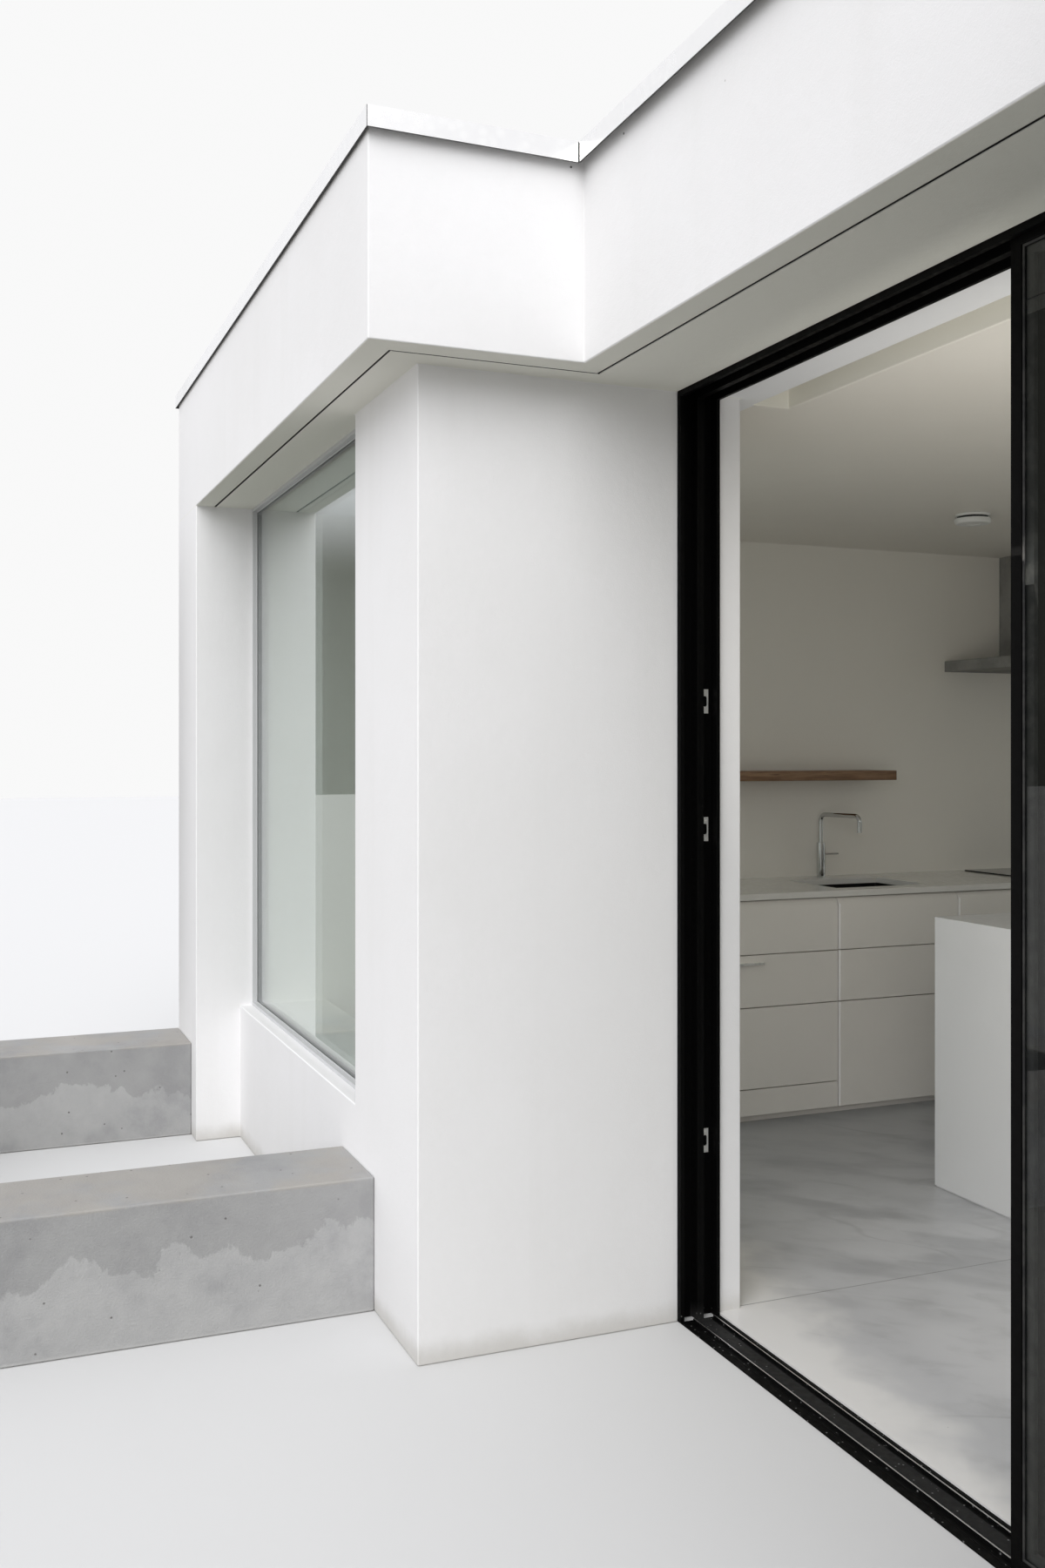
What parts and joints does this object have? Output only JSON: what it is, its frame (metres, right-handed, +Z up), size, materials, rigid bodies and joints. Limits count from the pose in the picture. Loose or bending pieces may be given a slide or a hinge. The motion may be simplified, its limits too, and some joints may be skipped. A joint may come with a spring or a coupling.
{
  "type": "detached house",
  "caption": "Flat-roofed white rendered house on one level, with an overhanging fascia, metal coping, window bays, a sliding glass door, a low planter and a fitted kitchen inside.",
  "frame": {"origin": "middle of the footprint, planter included, at ground level", "axes": "+Z up, +Y from the glazed front towards the back wall, +X to the right as seen from the front"},
  "size_m": [7.706, 7.326, 2.915],
  "materials": {
    "polished_concrete": "polished concrete, cloudy mottling",
    "white_render": "very smooth white render",
    "soffit_plaster": "smooth painted plaster",
    "roof_membrane": "matt sheet",
    "zinc_coping": "dull folded sheet, lightly mottled",
    "grey_frame": "satin grey",
    "window_glass": "clear sealed units",
    "black_aluminium": "satin black",
    "bare_aluminium": "satin silver",
    "steel": "brushed",
    "chrome": "polished",
    "cast_concrete": "cast concrete, damp patches",
    "grey_lacquer": "matt lacquer",
    "pale_worktop": "honed",
    "black_glass": "gloss black",
    "brown_wood": "oiled",
    "hood_grey": "grey cement finish",
    "white_lacquer": "satin lacquer",
    "white_plastic": "matt"
  },
  "bodies": {
    "house": {"floor_slab": "polished_concrete", "left_end_wall": "white_render", "right_end_wall": "white_render", "back_wall": "white_render", "left_pier": "white_render", "right_pier": "white_render", "left_sill_wall": "white_render", "right_sill_wall": "white_render", "roof_slab": "soffit_plaster", "roof_membrane": "roof_membrane", "left_bay_fascia": "white_render", "left_return_fascia": "white_render", "door_fascia": "white_render", "right_return_fascia": "white_render", "right_bay_fascia": "white_render", "left_bay_coping": "zinc_coping", "left_return_coping": "zinc_coping", "door_coping": "zinc_coping", "right_return_coping": "zinc_coping", "right_bay_coping": "zinc_coping", "left_side_coping": "zinc_coping", "right_side_coping": "zinc_coping", "back_coping": "zinc_coping", "left_window_frame": "grey_frame", "left_window_glass": "window_glass", "right_window_frame": "grey_frame", "right_window_glass": "window_glass", "back_window_frames": "grey_frame", "back_window_glass": "window_glass", "door_frame": "black_aluminium", "threshold_rails": "bare_aluminium", "lock_keeps": "steel", "fixed_leaf_frame": "black_aluminium", "fixed_leaf_glass": "window_glass", "planter_inner_wall": "cast_concrete", "planter_front_wall": "cast_concrete", "planter_outer_wall": "cast_concrete", "base_units": "grey_lacquer", "unit_fronts": "grey_lacquer", "worktop": "pale_worktop", "sink": "steel", "tap": "chrome", "hob": "black_glass", "wall_shelf": "brown_wood", "extractor_hood": "hood_grey", "kitchen_island": "white_lacquer", "smoke_detector": "white_plastic"},
    "sliding_leaf": {"sliding_leaf_frame": "black_aluminium", "sliding_leaf_glass": "window_glass"}
  },
  "joints": [
    {"name": "leaf_slide", "type": "slide", "parent": "house", "child": "sliding_leaf", "axis": [1, 0, 0], "range_m": [-1.226, 0]}
  ]
}
